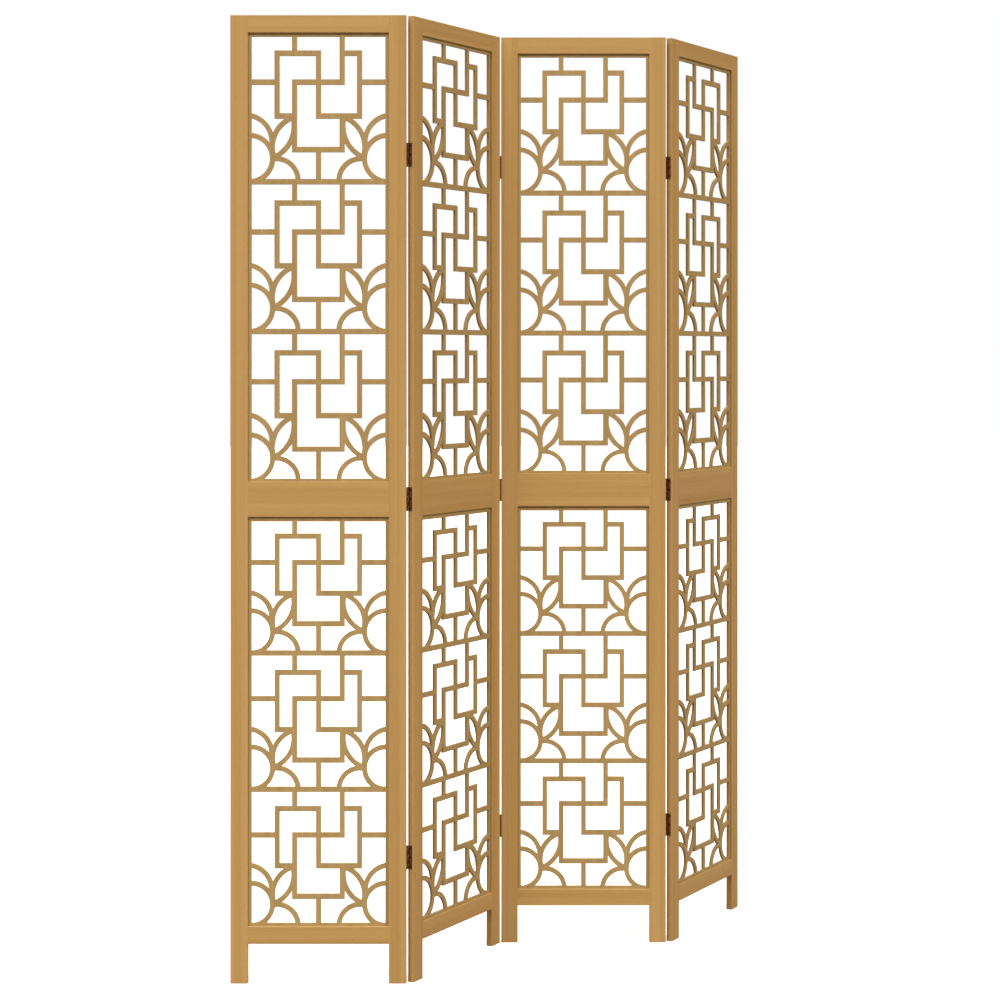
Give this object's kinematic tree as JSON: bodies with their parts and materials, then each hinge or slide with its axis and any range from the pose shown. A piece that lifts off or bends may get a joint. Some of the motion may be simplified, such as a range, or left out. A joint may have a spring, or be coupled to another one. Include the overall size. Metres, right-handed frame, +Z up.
{
  "type": "folding room divider",
  "caption": "Free-standing folding screen of hinged wooden frame panels with cut fretwork windows, standing in a zigzag on its legs.",
  "frame": {"origin": "middle of the screen's footprint on the floor, as it stands in the picture", "axes": "+Z up along the stiles, +X to the right along the first and third panels, whose front faces look along -Y, +Y to the back"},
  "size_m": [1.2222, 0.727, 2.2],
  "materials": {
    "stile_wood": "clear satin lacquer on pale straight-grained softwood, grain along the stile",
    "rail_wood": "clear satin lacquer on pale straight-grained softwood, grain along the rail",
    "lattice_wood": "clear satin lacquer on a thin cut board, grain upright",
    "dowel_wood": "unfinished hardwood dowel",
    "hinge_metal": "antique bronze lacquer on pressed steel",
    "pin_metal": "antique bronze lacquer on a turned pin",
    "screw_metal": "antique bronze plated countersunk screw"
  },
  "bodies": {
    "panel_1": {"panel_1_bottom_rail": "rail_wood", "panel_1_dowels": "dowel_wood", "panel_1_hinge_screws": "screw_metal", "panel_1_left_stile": "stile_wood", "panel_1_lower_lattice": "lattice_wood", "panel_1_middle_rail": "rail_wood", "panel_1_right_stile": "stile_wood", "panel_1_top_rail": "rail_wood", "panel_1_upper_lattice": "lattice_wood", "fold_1_bottom_hinge_left_leaf": "hinge_metal", "fold_1_hinge_pins": "pin_metal", "fold_1_middle_hinge_left_leaf": "hinge_metal", "fold_1_top_hinge_left_leaf": "hinge_metal"},
    "panel_2": {"panel_2_bottom_rail": "rail_wood", "panel_2_dowels": "dowel_wood", "panel_2_hinge_screws": "screw_metal", "panel_2_left_stile": "stile_wood", "panel_2_lower_lattice": "lattice_wood", "panel_2_middle_rail": "rail_wood", "panel_2_right_stile": "stile_wood", "panel_2_top_rail": "rail_wood", "panel_2_upper_lattice": "lattice_wood", "fold_2_bottom_hinge_left_leaf": "hinge_metal", "fold_2_hinge_pins": "pin_metal", "fold_2_middle_hinge_left_leaf": "hinge_metal", "fold_2_top_hinge_left_leaf": "hinge_metal", "fold_1_bottom_hinge_right_leaf": "hinge_metal", "fold_1_middle_hinge_right_leaf": "hinge_metal", "fold_1_top_hinge_right_leaf": "hinge_metal"},
    "panel_3": {"panel_3_bottom_rail": "rail_wood", "panel_3_dowels": "dowel_wood", "panel_3_hinge_screws": "screw_metal", "panel_3_left_stile": "stile_wood", "panel_3_lower_lattice": "lattice_wood", "panel_3_middle_rail": "rail_wood", "panel_3_right_stile": "stile_wood", "panel_3_top_rail": "rail_wood", "panel_3_upper_lattice": "lattice_wood", "fold_3_bottom_hinge_left_leaf": "hinge_metal", "fold_3_hinge_pins": "pin_metal", "fold_3_middle_hinge_left_leaf": "hinge_metal", "fold_3_top_hinge_left_leaf": "hinge_metal", "fold_2_bottom_hinge_right_leaf": "hinge_metal", "fold_2_middle_hinge_right_leaf": "hinge_metal", "fold_2_top_hinge_right_leaf": "hinge_metal"},
    "panel_4": {"panel_4_bottom_rail": "rail_wood", "panel_4_dowels": "dowel_wood", "panel_4_hinge_screws": "screw_metal", "panel_4_left_stile": "stile_wood", "panel_4_lower_lattice": "lattice_wood", "panel_4_middle_rail": "rail_wood", "panel_4_right_stile": "stile_wood", "panel_4_top_rail": "rail_wood", "panel_4_upper_lattice": "lattice_wood", "fold_3_bottom_hinge_right_leaf": "hinge_metal", "fold_3_middle_hinge_right_leaf": "hinge_metal", "fold_3_top_hinge_right_leaf": "hinge_metal"}
  },
  "joints": [
    {"name": "fold_1", "type": "hinge", "parent": "panel_1", "child": "panel_2", "pos_m": [-0.20948, -0.34802, 0], "axis": [0, 0, 1], "range_deg": [-61, 119]},
    {"name": "fold_2", "type": "hinge", "parent": "panel_2", "child": "panel_3", "pos_m": [-0.00001, -0.00313, 0], "axis": [0, 0, -1], "range_deg": [-61, 119]},
    {"name": "fold_3", "type": "hinge", "parent": "panel_3", "child": "panel_4", "pos_m": [0.40319, 0.01287, 0], "axis": [0, 0, 1], "range_deg": [-61, 119]}
  ]
}
